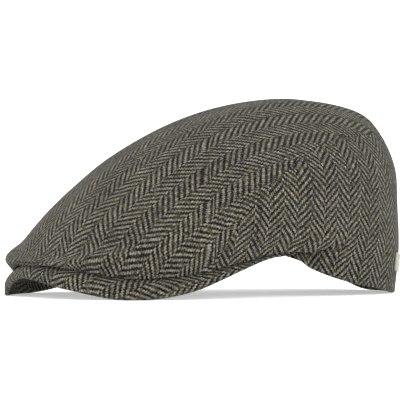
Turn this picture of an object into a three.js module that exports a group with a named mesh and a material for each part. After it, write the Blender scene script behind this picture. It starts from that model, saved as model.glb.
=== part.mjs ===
// Flat cap of herringbone tweed: a soft crown of one top panel and two side panels,
// which hangs over a short arched visor. The cap lies as it would on a table.
// Millimetres, +Z up. The visor points to -Y and the wearer's left is +X.
// The origin is on the table, under the middle of the cap's outline.
import * as THREE from 'three';
import { mergeVertices } from 'three/addons/utils/BufferGeometryUtils.js';

// Crown
const cap_length = 271;
const crown_height = 128;
const crown_half_width = 95;
const cloth_wall = 2;
const temple_height = 27;
const dent_depth = 4;

// Visor
const visor_overhang = 6;
const visor_drop = 13;
const visor_thickness = 3;
const visor_tip_thickness = 1.8;
const visor_tip_angle = 88;
const visor_edge_press = 0.6;
const opening_front = 73;
const opening_half_width = 79;
const opening_middle = 24;
const opening_front_height = 27;
const opening_tip_angle = 81;
const visor_run_to_rise = 3;
const visor_belly_drop = 0.4;

// Badge on the left side, near the back
const badge_width = 15;
const badge_height = 12;
const badge_thickness = 1.2;
const badge_angle = 149;
const badge_level = 0.68;

// Clearances
const seam_gap = 0.3;
const seam_point_angle = 0.7;
const rest_gap = 0.3;
const visor_gap = 0.6;

const cap_back = cap_length / 2;

// Rings of the crown from the rim up to the apex. How far a ring reaches forward, how far back
// its sides lie and how far it reaches back are shares of cap_back, half_width is a share of
// crown_half_width and the heights are shares of crown_height. Squareness and fullness widen a
// ring at its corners and toward the front.
const RINGS = [
  { front: 0.965, front_z: 0.16, half_width: 0.86, side_back: 0.09, side_z: 0.22,
    back: 0.97, back_z: 0, square: 0.07, full: 0.06 },
  { front: 0.995, front_z: 0.17, half_width: 0.945, side_back: 0.055, side_z: 0.31,
    back: 0.99, back_z: 0.2, square: 0.06, full: 0.06 },
  { front: 0.925, front_z: 0.22, half_width: 1, side_back: 0.015, side_z: 0.43,
    back: 0.99, back_z: 0.43, square: 0.04, full: 0.045 },
  { front: 0.855, front_z: 0.335, half_width: 0.93, side_back: 0.05, side_z: 0.59,
    back: 1, back_z: 0.64, square: -0.01, full: 0 },
  { front: 0.73, front_z: 0.47, half_width: 0.77, side_back: 0.055, side_z: 0.725,
    back: 0.93, back_z: 0.825, square: -0.02, full: -0.025 },
  { front: 0.52, front_z: 0.65, half_width: 0.53, side_back: 0.09, side_z: 0.85,
    back: 0.825, back_z: 0.93, square: -0.01, full: -0.035 },
  { front: 0.18, front_z: 0.845, half_width: 0.285, side_back: 0.2, side_z: 0.955,
    back: 0.58, back_z: 0.985, square: -0.01, full: 0 },
  { front: -0.305, front_z: 0.985, half_width: 0, side_back: 0.305, side_z: 0.985,
    back: 0.305, back_z: 0.985, square: 0, full: 0 },
];

// Height of the rim over the table as shares of temple_height, by the angle from the front.
// The right side keeps its arch further back than the left one, which sags.
const RIM = [
  { angle: 0, left: 0.82, right: 0.82 },
  { angle: 20, left: 0.7, right: 0.58 },
  { angle: 40, left: 0.5, right: 0.49 },
  { angle: 60, left: 0.57, right: 0.57 },
  { angle: 75, left: 0.83, right: 0.83 },
  { angle: 90, left: 1, right: 1.05 },
  { angle: 100, left: 0.62, right: 1.04 },
  { angle: 115, left: 0.31, right: 1 },
  { angle: 130, left: 0.155, right: 0.86 },
  { angle: 145, left: 0.02, right: 0.58 },
  { angle: 160, left: 0, right: 0.25 },
  { angle: 170, left: 0, right: 0.05 },
  { angle: 180, left: 0, right: 0 },
];

// Band of the visor that shows below the crown, by the angle from the front: how far its belly
// and its edge stand out, as shares of visor_overhang, and how far the edge drops on each side,
// as shares of visor_drop. The right side hangs lower in front.
const VISOR_BAND = [
  { angle: 0, belly: 0.56, out: 0.85, left: 0.69, right: 0.69 },
  { angle: 20, belly: 0.82, out: 0.92, left: 0.92, right: 1.15 },
  { angle: 40, belly: 0.85, out: 0.75, left: 1, right: 1 },
  { angle: 55, belly: 0.7, out: 0.65, left: 0.85, right: 0.85 },
  { angle: 70, belly: 0.45, out: 0.6, left: 0.46, right: 0.46 },
  { angle: 80, belly: 0.22, out: 0.45, left: 0.15, right: 0.15 },
  { angle: 92, belly: 0.06, out: 0.2, left: 0, right: 0 },
];

// Seam between the top panel and a side panel: the angle from the front at each ring level.
const SEAM = [
  { angle: 66, level: 0 },
  { angle: 69, level: 0.5 },
  { angle: 72, level: 1.1 },
  { angle: 77, level: 2 },
  { angle: 85, level: 2.85 },
  { angle: 97, level: 3.55 },
  { angle: 114, level: 4 },
  { angle: 135, level: 4 },
  { angle: 157, level: 3.95 },
  { angle: 180, level: 3.8 },
];

// Dents and swells of the cloth: where each lies, its depth as a share of dent_depth
// (less than nothing for a swell), and how wide and tall it is in degrees and levels.
const DENTS = [
  { angle: 103, level: 0.42, depth: 1, wide: 8, tall: 0.24 },
  { angle: 104, level: 1.02, depth: -0.5, wide: 10, tall: 0.22 },
  { angle: -106, level: 0.6, depth: 0.6, wide: 12, tall: 0.35 },
  { angle: -27, level: 2.1, depth: 0.45, wide: 15, tall: 0.5 },
  { angle: 24, level: 2.2, depth: 0.3, wide: 12, tall: 0.5 },
  { angle: 52, level: 0.75, depth: -0.4, wide: 16, tall: 0.4 },
];

// Mesh fineness
const front_columns = 22;
const top_rows = 13;
const side_columns = 34;
const side_rows = 11;
const visor_columns = 56;
const visor_steps = 12;
const visor_edge_turns = [45, 90, 135];
const badge_cells = 4;
const even_samples = 720;

const top_level = RINGS.length - 1;
const radians = THREE.MathUtils.degToRad;

// Value of one column of a table at any angle: a smooth curve through its rows, flat at both ends.
function fromTable(table, angle, column) {
  let low = 0;
  while (low < table.length - 2 && angle > table[low + 1].angle) low += 1;
  const slopeAt = (row) => {
    if (row === 0 || row === table.length - 1) return 0;
    const before = table[row - 1];
    const after = table[row + 1];
    return (after[column] - before[column]) / (after.angle - before.angle);
  };
  const step = table[low + 1].angle - table[low].angle;
  const t = THREE.MathUtils.clamp((angle - table[low].angle) / step, 0, 1);
  const rise = t * t * (3 - 2 * t);
  return table[low][column] * (1 - rise) + table[low + 1][column] * rise
    + step * t * (1 - t) * ((1 - t) * slopeAt(low) - t * slopeAt(low + 1));
}

// An angle brought to the range from -180 to 180 degrees.
function wrapped(angle) {
  return THREE.MathUtils.euclideanModulo(angle + 180, 360) - 180;
}

// Height of the rim at an angle from the front, left side positive, never under the table.
function rimHeight(angle) {
  const turn = wrapped(angle);
  return temple_height * Math.max(0, fromTable(RIM, Math.abs(turn), turn < 0 ? 'right' : 'left'));
}

// A point of one ring. Forward and back ends and the sides fix a wave of one and of two turns.
function ringPoint(level, angle) {
  const row = RINGS[level];
  const turn = radians(angle);
  const front = -row.front * cap_back;
  const back = row.back * cap_back;
  const side = row.side_back * cap_back;
  const middle = (front + back) / 2;
  const y = (middle + side) / 2 - ((back - front) / 2) * Math.cos(turn)
    + ((middle - side) / 2) * Math.cos(2 * turn);
  const end_z = (row.front_z + row.back_z) / 2;
  let z = crown_height * ((end_z + row.side_z) / 2 - ((row.back_z - row.front_z) / 2) * Math.cos(turn)
    + ((end_z - row.side_z) / 2) * Math.cos(2 * turn));
  if (level === 0) z = rimHeight(angle);
  const corner = Math.sin(turn) + row.square * Math.sin(3 * turn) + row.full * Math.sin(2 * turn);
  const x = (crown_half_width * row.half_width * corner) / (1 - row.square);
  return new THREE.Vector3(x, y, z);
}

// Ring points below the rim and beyond the apex, which steer the ends of a meridian.
function meridianPoint(level, angle) {
  if (level < 0) {
    return ringPoint(0, angle).multiplyScalar(2).sub(ringPoint(1, angle));
  }
  if (level > top_level) return ringPoint(2 * top_level - level, angle + 180);
  return ringPoint(level, angle);
}

// A point of the bare crown: a smooth meridian through the rings.
function meridian(angle, level) {
  const low = THREE.MathUtils.clamp(Math.floor(level), 0, top_level - 1);
  const t = level - low;
  const weights = [
    (-t + 2 * t * t - t ** 3) / 2,
    (2 - 5 * t * t + 3 * t ** 3) / 2,
    (t + 4 * t * t - 3 * t ** 3) / 2,
    (t ** 3 - t * t) / 2,
  ];
  const point = new THREE.Vector3();
  weights.forEach((weight, i) => {
    point.addScaledVector(meridianPoint(low - 1 + i, angle), weight);
  });
  return point;
}

// Rates of change of the crown surface, per degree and per ring level.
const probe = 0.01;
function alongRing(angle, level) {
  return meridian(angle + probe, level).sub(meridian(angle - probe, level)).divideScalar(2 * probe);
}
function upMeridian(angle, level) {
  const high = Math.min(level + probe, top_level);
  return meridian(angle, high).sub(meridian(angle, high - 2 * probe)).divideScalar(2 * probe);
}

// Direction out of the cloth.
function outward(angle, level) {
  if (level >= top_level) return outward(0, top_level - probe);
  return alongRing(angle, level).cross(upMeridian(angle, level)).normalize();
}

// How deep the dents press the cloth in.
function dentDepth(angle, level) {
  let depth = 0;
  for (const dent of DENTS) {
    const across = wrapped(angle - dent.angle) / dent.wide;
    const up = (level - dent.level) / dent.tall;
    depth += dent_depth * dent.depth * Math.exp(-(across ** 2 + up ** 2) / 2);
  }
  return depth;
}

// A point of the crown, a distance outside the cloth's face. The rim's cut is level.
function crownPoint(angle, level, lift = 0) {
  const point = meridian(angle, level);
  const height = point.z;
  point.addScaledVector(outward(angle, level), lift - dentDepth(angle, level));
  if (level <= 0) point.z = height;
  return point;
}

// Level of the seam at an angle, 0 in front of it.
function seamLevel(angle) {
  const turn = Math.abs(wrapped(angle));
  return turn <= SEAM[0].angle ? 0 : fromTable(SEAM, turn, 'level');
}

// Half the seam's gap as a share of a ring level, wider where the seam runs steeply.
function seamClearance(angle) {
  const level = seamLevel(angle);
  const rate = upMeridian(angle, level).length();
  const slope = (rate * (seamLevel(angle + probe) - seamLevel(angle - probe))) / (2 * probe);
  const steepness = slope / alongRing(angle, level).length();
  return (seam_gap * Math.hypot(1, steepness)) / 2 / rate;
}

// Angles between two ends, spaced evenly along the seam or rim of the crown.
function evenAngles(start, end, count) {
  const angleAt = (i) => start + ((end - start) * i) / even_samples;
  const lengths = [0];
  let last = meridian(start, seamLevel(start));
  for (let i = 1; i <= even_samples; i += 1) {
    const next = meridian(angleAt(i), seamLevel(angleAt(i)));
    lengths.push(lengths[i - 1] + next.distanceTo(last));
    last = next;
  }
  const angles = [];
  let i = 0;
  for (let k = 0; k <= count; k += 1) {
    const wanted = (lengths[even_samples] * k) / count;
    while (i < even_samples - 1 && lengths[i + 1] < wanted) i += 1;
    angles.push(angleAt(i + (wanted - lengths[i]) / (lengths[i + 1] - lengths[i])));
  }
  return angles;
}

// Adds the two triangles of each cell between two lists of points.
function addStrip(triangles, first, second) {
  for (let i = 0; i < first.length - 1; i += 1) {
    triangles.push([first[i], second[i], second[i + 1]]);
    triangles.push([first[i], second[i + 1], first[i + 1]]);
  }
}

// A closed mesh from triangles: points that meet are shared, and cells that close to a line go.
const least_area = 1e-9;
const same_point = 1e-4;
function solid(name, triangles, colour) {
  const places = [];
  for (const corners of triangles) {
    const across = new THREE.Vector3().subVectors(corners[1], corners[0]);
    const area = across.cross(new THREE.Vector3().subVectors(corners[2], corners[0])).length();
    if (area > least_area) corners.forEach((corner) => places.push(corner.x, corner.y, corner.z));
  }
  const geometry = new THREE.BufferGeometry();
  geometry.setAttribute('position', new THREE.Float32BufferAttribute(places, 3));
  const merged = mergeVertices(geometry, same_point);
  merged.computeVertexNormals();
  const mesh = new THREE.Mesh(merged, new THREE.MeshStandardMaterial(colour));
  mesh.name = name;
  return mesh;
}

// A sheet of cloth with a wall: columns of outer points, and of inner points behind them.
// The borders are closed, apart from those where the sheet joins itself or ends in one point.
function sheet(outer, inner) {
  const triangles = [];
  for (let i = 0; i < outer.length - 1; i += 1) {
    addStrip(triangles, outer[i], outer[i + 1]);
    addStrip(triangles, inner[i + 1], inner[i]);
    const last = outer[i].length - 1;
    addStrip(triangles, [inner[i][0], outer[i][0]], [inner[i + 1][0], outer[i + 1][0]]);
    addStrip(triangles, [outer[i][last], inner[i][last]], [outer[i + 1][last], inner[i + 1][last]]);
  }
  return triangles;
}

// Closes the first and last column of a sheet that doesn't go all the way round.
function closeEnds(triangles, outer, inner) {
  const last = outer.length - 1;
  addStrip(triangles, inner[0], outer[0]);
  addStrip(triangles, outer[last], inner[last]);
}

// Columns that the top panel and a side panel share along their seam, from the side panel's
// point in front of the temple to the middle of the back.
const seam_start = SEAM[0].angle + seam_point_angle;
const seam_end = 180;
const seam_angles = evenAngles(seam_start, seam_end, side_columns);

const tweed = { color: 0x5b5850, roughness: 0.95, metalness: 0 };
const badge_cloth = { color: 0x77746c, roughness: 0.8, metalness: 0 };

// Top panel: from the crease over the visor and the two seams up to the apex.
function topPanel() {
  const front_angles = evenAngles(-SEAM[0].angle, SEAM[0].angle, front_columns);
  const right_angles = seam_angles.map((angle) => -angle).reverse();
  const angles = [...right_angles, ...front_angles, ...seam_angles];
  const columnAt = (angle, lift) => {
    const edge = seamLevel(angle);
    const foot = edge > 0 ? edge + seamClearance(angle) : 0;
    const points = [];
    for (let j = 0; j < top_rows; j += 1) {
      points.push(crownPoint(angle, foot + ((top_level - foot) * j) / top_rows, lift));
    }
    points.push(crownPoint(0, top_level, lift));
    return points;
  };
  const outer = angles.map((angle) => columnAt(angle, 0));
  const inner = angles.map((angle) => columnAt(angle, -cloth_wall));
  outer[angles.length - 1] = outer[0];
  inner[angles.length - 1] = inner[0];
  const triangles = sheet(outer, inner);
  return solid('top_panel', triangles, tweed);
}

// Side panel of one side, 1 for left and -1 for right, from its point in front of the temple
// to the seam down the middle of the back.
function sidePanel(name, side) {
  const half_gap = new THREE.Vector3((side * seam_gap) / 2, 0, 0);
  const columnAt = (angle, lift) => {
    const top = seamLevel(angle) - seamClearance(angle);
    const points = [];
    for (let j = 0; j <= side_rows; j += 1) {
      const point = crownPoint(side * angle, (top * j) / side_rows, lift);
      if (angle === seam_angles[side_columns]) point.add(half_gap);
      points.push(point);
    }
    return points;
  };
  const outer = seam_angles.map((angle) => columnAt(angle, 0));
  const inner = seam_angles.map((angle) => columnAt(angle, -cloth_wall));
  if (side < 0) {
    outer.reverse();
    inner.reverse();
  }
  const triangles = sheet(outer, inner);
  closeEnds(triangles, outer, inner);
  return solid(name, triangles, tweed);
}

// Plan direction straight out of the rim.
function rimOutward(angle) {
  const along = alongRing(angle, 0);
  return new THREE.Vector3(along.y, -along.x, 0).normalize();
}

// Points down the middle of the visor's board at one angle, from the head opening out to the edge.
// The board rises inward no steeper than visor_run_to_rise allows, and stays under the rim.
function visorSection(angle) {
  const turn = radians((angle * opening_tip_angle) / visor_tip_angle);
  const opening = new THREE.Vector3(
    opening_half_width * Math.sin(turn),
    opening_middle - (opening_front + opening_middle) * Math.cos(turn),
    opening_front_height,
  );
  const out = rimOutward(angle);
  const half = visorHalfThickness(angle);
  const rim = ringPoint(0, angle);
  const under = rim.clone().addScaledVector(out, -cloth_wall);
  under.z -= visor_gap + half;
  const share = (column) => fromTable(VISOR_BAND, Math.abs(angle), column);
  const edge = rim.clone().addScaledVector(out, visor_overhang * share('out') - half);
  edge.z = Math.min(edge.z + half - visor_drop * share(angle < 0 ? 'right' : 'left'), under.z);
  edge.z = Math.max(edge.z, half) - visor_edge_press;
  const belly = rim.clone().addScaledVector(out, visor_overhang * share('belly') - half);
  belly.z = THREE.MathUtils.lerp(under.z, edge.z, visor_belly_drop);
  const highest = under.z + half + under.distanceTo(opening) / visor_run_to_rise;
  opening.z = Math.min(opening.z - half, highest);
  const hidden = opening.clone().lerp(under, 0.5);
  return new THREE.CatmullRomCurve3([opening, hidden, under, belly, edge])
    .getPoints(visor_steps);
}

// Half the board's thickness, which thins from the front to the tips.
function visorHalfThickness(angle) {
  const share = (angle / visor_tip_angle) ** 2;
  return THREE.MathUtils.lerp(visor_thickness, visor_tip_thickness, share) / 2;
}

// Closed outline round the board at one angle, with a round edge.
function visorLoop(angle) {
  const middle = visorSection(angle);
  const half = visorHalfThickness(angle);
  const mid = visor_steps / 2;
  const along = new THREE.Vector3()
    .subVectors(visorSection(angle + probe)[mid], visorSection(angle - probe)[mid]).normalize();
  const top = [];
  const under = [];
  const last = middle.length - 1;
  const direction = (i) => new THREE.Vector3()
    .subVectors(middle[Math.min(i + 1, last)], middle[Math.max(i - 1, 0)]).normalize();
  middle.forEach((point, i) => {
    const up = new THREE.Vector3().crossVectors(direction(i), along).normalize();
    top.push(point.clone().addScaledVector(up, half));
    under.push(point.clone().addScaledVector(up, -half));
  });
  const up = new THREE.Vector3().subVectors(top[last], middle[last]);
  const out = direction(last).multiplyScalar(half);
  const edge = visor_edge_turns.map((turn) => middle[last].clone()
    .addScaledVector(up, Math.cos(radians(turn)))
    .addScaledVector(out, Math.sin(radians(turn))));
  const loop = [...top, ...edge, ...under.reverse()];
  loop.forEach((point) => {
    point.z = Math.max(point.z, 0);
  });
  return loop;
}

// Visor: the loops carried round the front, closed flat at both tips.
function visor() {
  const triangles = [];
  const loops = [];
  for (let i = 0; i <= visor_columns; i += 1) {
    loops.push(visorLoop(visor_tip_angle * (1 - (2 * i) / visor_columns)));
  }
  for (let i = 0; i < visor_columns; i += 1) {
    addStrip(triangles, [...loops[i], loops[i][0]], [...loops[i + 1], loops[i + 1][0]]);
  }
  const closeTip = (loop) => {
    for (let i = 0; i < (loop.length - 1) / 2; i += 1) {
      addStrip(triangles, [loop[i], loop[loop.length - 1 - i]], [loop[i + 1], loop[loop.length - 2 - i]]);
    }
  };
  closeTip(loops[0]);
  closeTip([...loops[visor_columns]].reverse());
  return solid('visor', triangles, tweed);
}

// Blank badge sewn to the left side near the back, bent to follow the cloth.
function badge() {
  const per_degree = alongRing(badge_angle, badge_level).length();
  const per_level = upMeridian(badge_angle, badge_level).length();
  const columnAt = (i, lift) => {
    const points = [];
    const angle = badge_angle + (badge_width / per_degree) * (i / badge_cells - 0.5);
    for (let j = 0; j <= badge_cells; j += 1) {
      const level = badge_level + (badge_height / per_level) * (j / badge_cells - 0.5);
      points.push(crownPoint(angle, level, rest_gap + lift));
    }
    return points;
  };
  const outer = [];
  const inner = [];
  for (let i = 0; i <= badge_cells; i += 1) {
    outer.push(columnAt(i, badge_thickness));
    inner.push(columnAt(i, 0));
  }
  const triangles = sheet(outer, inner);
  closeEnds(triangles, outer, inner);
  return solid('side_badge', triangles, badge_cloth);
}

const cap = new THREE.Group();
cap.add(topPanel(), sidePanel('side_panel_left', 1), sidePanel('side_panel_right', -1), visor(), badge());

export default cap;
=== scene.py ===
"""Flat cap of herringbone tweed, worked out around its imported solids.

The crown is one smooth surface over an angle from the front and a level from the rim to the apex.
The top panel and the two side panels are cut from it along the seam, with rolled edges, and the
visor is an arched board. The cloth's weave follows each panel as if it was cut flat.
Metres, +Z up. The visor points to -Y and the wearer's left is +X.
"""

import bmesh
import bpy
import numpy as np
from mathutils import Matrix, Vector


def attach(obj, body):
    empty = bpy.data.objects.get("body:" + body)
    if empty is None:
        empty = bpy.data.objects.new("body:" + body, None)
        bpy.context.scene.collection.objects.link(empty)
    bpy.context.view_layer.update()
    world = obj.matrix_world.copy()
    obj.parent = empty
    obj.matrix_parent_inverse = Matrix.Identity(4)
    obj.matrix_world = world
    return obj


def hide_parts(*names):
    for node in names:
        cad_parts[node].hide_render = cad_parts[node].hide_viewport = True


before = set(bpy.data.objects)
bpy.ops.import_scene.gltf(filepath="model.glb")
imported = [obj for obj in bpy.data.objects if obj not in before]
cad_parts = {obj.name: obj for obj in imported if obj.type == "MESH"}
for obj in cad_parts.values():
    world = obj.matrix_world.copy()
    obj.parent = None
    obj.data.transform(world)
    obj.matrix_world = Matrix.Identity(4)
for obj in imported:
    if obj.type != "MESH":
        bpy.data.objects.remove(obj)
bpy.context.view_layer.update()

bl_info = {
    "name": "Flat cap",
    "version": (1, 0, 0),
    "blender": (4, 5, 0),
    "location": "3D View > Sidebar > Flat cap",
    "description": "Makes a flat cap of herringbone tweed around its packed solids",
    "category": "Object",
}

BODY = "root"
WEAVE_MAP = "weave"
# Attribute that marks how deep each point lies in the fold's tuck: a mask for painted shade
TUCK_SHADE_MARK = "tuck"


def table(names, rows):
    """Rows of numbers as a table whose columns are read by name."""
    return np.array(rows, dtype=[(name, float) for name in names.split()])


# Rings of the crown from the rim up to the apex. How far a ring reaches forward, how far back its
# sides lie and how far it reaches back are shares of half the cap's length, half_width is a share
# of the half width and the heights are shares of the height. Squareness and fullness widen a ring
# at its corners and toward the front.
RINGS = table("front front_z half_width side_back side_z back back_z square full", [
    (0.965, 0.16, 0.86, 0.09, 0.22, 0.97, 0, 0.07, 0.06),
    (0.995, 0.17, 0.945, 0.055, 0.31, 0.99, 0.2, 0.06, 0.06),
    (0.925, 0.22, 1, 0.015, 0.43, 0.99, 0.43, 0.04, 0.045),
    (0.855, 0.335, 0.93, 0.05, 0.59, 1, 0.64, -0.01, 0),
    (0.73, 0.47, 0.77, 0.055, 0.725, 0.93, 0.825, -0.02, -0.025),
    (0.52, 0.65, 0.53, 0.09, 0.85, 0.825, 0.93, -0.01, -0.035),
    (0.18, 0.845, 0.285, 0.2, 0.955, 0.58, 0.985, -0.01, 0),
    (-0.305, 0.985, 0, 0.305, 0.985, 0.305, 0.985, 0, 0),
])
TOP_LEVEL = len(RINGS) - 1

# Height of the rim as shares of the temple's height, by the angle from the front. The right side
# keeps its arch further back than the left one.
RIM = table("angle left right", [
    (0, 0.82, 0.82),
    (20, 0.7, 0.58),
    (40, 0.5, 0.49),
    (60, 0.57, 0.57),
    (75, 0.83, 0.83),
    (90, 1, 1.05),
    (100, 0.62, 1.04),
    (115, 0.31, 1),
    (130, 0.155, 0.86),
    (145, 0.02, 0.58),
    (160, 0, 0.25),
    (170, 0, 0.05),
    (180, 0, 0),
])

# Band of the visor that shows below the crown: how far its belly and its edge stand out, as
# shares of the overhang, and how far the edge drops on each side, as shares of the drop.
VISOR_BAND = table("angle belly out left right", [
    (0, 0.56, 0.85, 0.69, 0.69),
    (20, 0.82, 0.92, 0.92, 1.15),
    (40, 0.85, 0.75, 1, 1),
    (55, 0.7, 0.65, 0.85, 0.85),
    (70, 0.45, 0.6, 0.46, 0.46),
    (80, 0.22, 0.45, 0.15, 0.15),
    (92, 0.06, 0.2, 0, 0),
])

# Seam between the top panel and a side panel: the angle from the front at each ring level.
SEAM = table("angle level", [
    (66, 0),
    (69, 0.5),
    (72, 1.1),
    (77, 2),
    (85, 2.85),
    (97, 3.55),
    (114, 4),
    (135, 4),
    (157, 3.95),
    (180, 3.8),
])

# Dents and swells of the cloth: where each lies, its depth as a share of the dent depth (less
# than nothing for a swell), and how wide and tall it is in degrees and levels.
DENTS = table("angle level depth wide tall", [
    (103, 0.42, 1, 8, 0.24),
    (104, 1.02, -0.5, 10, 0.22),
    (-106, 0.6, 0.6, 12, 0.35),
    (-27, 2.1, 0.45, 15, 0.5),
    (24, 2.2, 0.3, 12, 0.5),
    (52, 0.75, -0.4, 16, 0.4),
])

# Fold behind each temple: the level of its upper edge and its strength, by the angle from the
# front. The cloth above the edge stands out in a ridge, and steps back sharply below it.
FOLD = table("angle level strength", [
    (86, 0, 0),
    (91, 0.22, 0.4),
    (95, 0.42, 0.75),
    (99.5, 0.58, 1),
    (103.5, 0.7, 1),
    (108, 0.8, 0.3),
    (111, 0.86, 0),
])
# Depth of the fold and height of its ridge in metres, and in levels how far the cloth hangs over
# it, how tall its step is and how tall the whole fold is
FOLD_DEPTH = 0.008
FOLD_RIDGE = 0.002
FOLD_HANG = 0.1
FOLD_STEP = 0.06
FOLD_TALL = 0.4

# Step for a rate of change, in degrees or levels, and the distance in metres of points that meet
PROBE = 0.01
SAME_POINT = 1e-6


class CapSizes(bpy.types.PropertyGroup):
    """Sizes of the cap."""
    length: bpy.props.FloatProperty(
        name="Length", description="Length from the nose to the back", unit="LENGTH",
        default=0.271)
    height: bpy.props.FloatProperty(
        name="Height", description="Height of the apex over the table", unit="LENGTH",
        default=0.128)
    half_width: bpy.props.FloatProperty(
        name="Half width", description="Half the crown's width", unit="LENGTH", default=0.095)
    temple_height: bpy.props.FloatProperty(
        name="Temple height", description="Height of the rim at the temples", unit="LENGTH",
        default=0.027)
    dent_depth: bpy.props.FloatProperty(
        name="Dent depth", description="Depth of the deepest dent", unit="LENGTH", default=0.004)
    wall: bpy.props.FloatProperty(
        name="Cloth wall", description="Thickness of the cloth", unit="LENGTH", default=0.002)
    hem: bpy.props.FloatProperty(
        name="Hem", description="Thickness of the turned rim", unit="LENGTH", default=0.0028)
    visor_overhang: bpy.props.FloatProperty(
        name="Visor overhang", description="How far the visor stands out of the crown",
        unit="LENGTH", default=0.006)
    visor_drop: bpy.props.FloatProperty(
        name="Visor drop", description="How far the visor's edge drops under the rim",
        unit="LENGTH", default=0.013)
    visor_thickness: bpy.props.FloatProperty(
        name="Visor thickness", description="Thickness at the front", unit="LENGTH", default=0.003)
    visor_tip_thickness: bpy.props.FloatProperty(
        name="Visor tip thickness", description="Thickness at the tips", unit="LENGTH",
        default=0.0018)
    badge_width: bpy.props.FloatProperty(
        name="Badge width", description="Width of the blank badge", unit="LENGTH", default=0.015)
    badge_height: bpy.props.FloatProperty(
        name="Badge height", description="Height of the blank badge", unit="LENGTH", default=0.012)


class ClothLook(bpy.types.PropertyGroup):
    """Yarn and colours of the tweed."""
    yarn: bpy.props.FloatProperty(
        name="Yarn pitch", description="Distance between two yarns", unit="LENGTH", default=0.00121)
    column: bpy.props.IntProperty(
        name="Yarns in a column", description="Yarns across one column of the herringbone",
        default=9)
    light: bpy.props.FloatVectorProperty(
        name="Light yarn", description="Colour of the warp", subtype="COLOR", size=4,
        default=(0.14, 0.133, 0.106, 1))
    dark: bpy.props.FloatVectorProperty(
        name="Dark yarn", description="Colour of the weft", subtype="COLOR", size=4,
        default=(0.0058, 0.0047, 0.003, 1))
    olive: bpy.props.FloatVectorProperty(
        name="Olive fleck", description="Colour of the yellow-green flecks", subtype="COLOR",
        size=4, default=(0.07, 0.066, 0.028, 1))
    mauve: bpy.props.FloatVectorProperty(
        name="Mauve fleck", description="Colour of the red-brown flecks", subtype="COLOR",
        size=4, default=(0.07, 0.048, 0.043, 1))
    slate: bpy.props.FloatVectorProperty(
        name="Slate fleck", description="Colour of the blue-grey flecks", subtype="COLOR",
        size=4, default=(0.048, 0.056, 0.062, 1))
    badge: bpy.props.FloatVectorProperty(
        name="Badge", description="Colour of the badge's ribbon", subtype="COLOR", size=4,
        default=(0.3, 0.31, 0.25, 1))


class StageLook(bpy.types.PropertyGroup):
    """Floor, light and camera."""
    floor: bpy.props.FloatVectorProperty(
        name="Floor", description="Colour of the floor", subtype="COLOR", size=4,
        default=(0.95, 0.95, 0.95, 1))
    floor_glow: bpy.props.FloatProperty(
        name="Floor glow", description="Strength of the light that comes up through the floor",
        default=0.45)
    key_power: bpy.props.FloatProperty(
        name="Key light", description="Power of the key light in watts", default=36)
    fill_power: bpy.props.FloatProperty(
        name="Fill light", description="Power of the fill light in watts", default=18)
    low_power: bpy.props.FloatProperty(
        name="Low light", description="Power of the low front light in watts", default=26)
    sky: bpy.props.FloatProperty(
        name="Sky", description="Strength of the light from all round", default=0.95)
    distance: bpy.props.FloatProperty(
        name="Camera distance", description="Distance of the camera", unit="LENGTH", default=3)


def from_table(rows, angle, column):
    """Value of one column of a table at any angle.

    A cubic runs from row to row, with the slope between a row's two neighbours at each row and
    no slope at both ends.
    """
    angles = rows["angle"]
    values = rows[column]
    slopes = np.zeros(len(rows))
    slopes[1:-1] = (values[2:] - values[:-2]) / (angles[2:] - angles[:-2])
    low = np.clip(np.searchsorted(angles, angle, side="right") - 1, 0, len(rows) - 2)
    step = angles[low + 1] - angles[low]
    t = np.clip((angle - angles[low]) / step, 0, 1)
    rise = t * t * (3 - 2 * t)
    bend = step * t * (1 - t) * ((1 - t) * slopes[low] - t * slopes[low + 1])
    return values[low] * (1 - rise) + values[low + 1] * rise + bend


def wrapped(angle):
    """An angle brought to the range from -180 to 180 degrees."""
    return (angle + 180) % 360 - 180


def fold(angle, level):
    """How far the fold pushes the cloth in, in metres, and how far it hangs down, in levels.

    A bell of FOLD_TALL levels stands out at the edge. Below the edge the depth sets in within
    FOLD_STEP levels and fades downward. The cloth above it hangs over it, most at the edge.
    """
    turn = np.abs(wrapped(angle))
    strength = from_table(FOLD, turn, "strength")
    below = from_table(FOLD, turn, "level") - level
    set_in = np.clip(below / FOLD_STEP, 0, 1)
    set_in = set_in ** 2 * (3 - 2 * set_in)
    depth = (FOLD_DEPTH + FOLD_RIDGE) * set_in * np.exp(-np.maximum(below, 0) / FOLD_TALL)
    ridge = FOLD_RIDGE * np.exp(-(below / FOLD_TALL) ** 2)
    hang = FOLD_HANG * np.where(below < 0, np.exp(-(below / FOLD_TALL) ** 2), 1 - set_in)
    return (depth - ridge) * strength, hang * strength


def unit(vectors):
    """Vectors brought to length 1 along the last axis."""
    length = np.linalg.norm(vectors, axis=-1, keepdims=True)
    return vectors / np.maximum(length, SAME_POINT ** 2)


def seam_level(angle):
    """Level of the seam at an angle, 0 in front of it."""
    turn = np.abs(wrapped(angle))
    level = from_table(SEAM, turn, "level")
    return np.where(turn <= SEAM["angle"][0], 0, level)


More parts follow.
